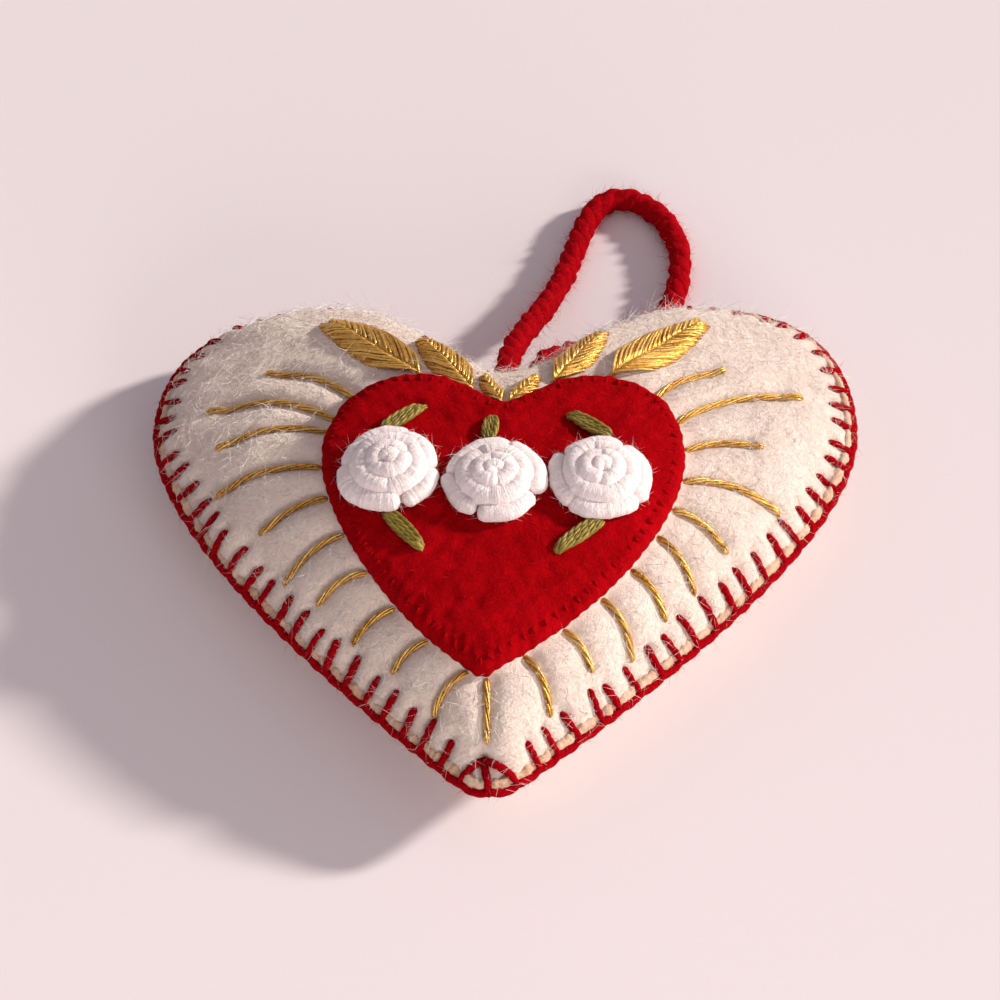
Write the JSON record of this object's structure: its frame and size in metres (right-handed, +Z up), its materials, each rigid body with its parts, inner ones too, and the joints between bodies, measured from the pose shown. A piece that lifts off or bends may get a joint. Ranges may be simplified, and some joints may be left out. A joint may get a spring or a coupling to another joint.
{
  "type": "embroidered wool heart ornament",
  "caption": "Stuffed felt heart with an appliqued red heart, wrapped thread roses, gold rays and leaves, a blanket-stitched seam and a wool hanging loop.",
  "frame": {"origin": "on the table under the middle of the heart's box, without the hanging cord", "axes": "+Z up out of the embroidered front, +Y from the tip to the lobes and the cord, +X to the right seen from the front"},
  "size_m": [0.1138, 0.1338, 0.032],
  "materials": {
    "cream_felt": "soft pressed wool felt, matt, with a light haze of fibres",
    "red_felt": "pressed wool felt, matt, deep red",
    "white_thread": "wrapped wool thread, matt",
    "gold_thread": "twisted glossy gold-coloured thread",
    "green_thread": "twisted olive thread",
    "red_wool": "spun red wool yarn, fuzzy"
  },
  "bodies": {
    "root": {"front_panel": "cream_felt", "back_panel": "cream_felt", "red_heart": "red_felt", "blanket_stitch": "red_wool", "hanging_cord": "red_wool", "rose_left": "white_thread", "rose_middle": "white_thread", "rose_right": "white_thread", "ray_01": "gold_thread", "ray_02": "gold_thread", "ray_03": "gold_thread", "ray_04": "gold_thread", "ray_05": "gold_thread", "ray_06": "gold_thread", "ray_07": "gold_thread", "ray_08": "gold_thread", "ray_09": "gold_thread", "ray_10": "gold_thread", "ray_11": "gold_thread", "ray_12": "gold_thread", "ray_13": "gold_thread", "ray_14": "gold_thread", "ray_15": "gold_thread", "ray_16": "gold_thread", "ray_17": "gold_thread", "ray_18": "gold_thread", "ray_19": "gold_thread", "ray_20": "gold_thread", "ray_21": "gold_thread", "gold_leaf_1": "gold_thread", "gold_leaf_2": "gold_thread", "gold_leaf_3": "gold_thread", "gold_leaf_4": "gold_thread", "gold_leaf_5": "gold_thread", "gold_leaf_6": "gold_thread", "green_leaf_1": "green_thread", "green_leaf_2": "green_thread", "green_leaf_3": "green_thread", "green_leaf_4": "green_thread", "green_leaf_5": "green_thread"}
  },
  "joints": []
}
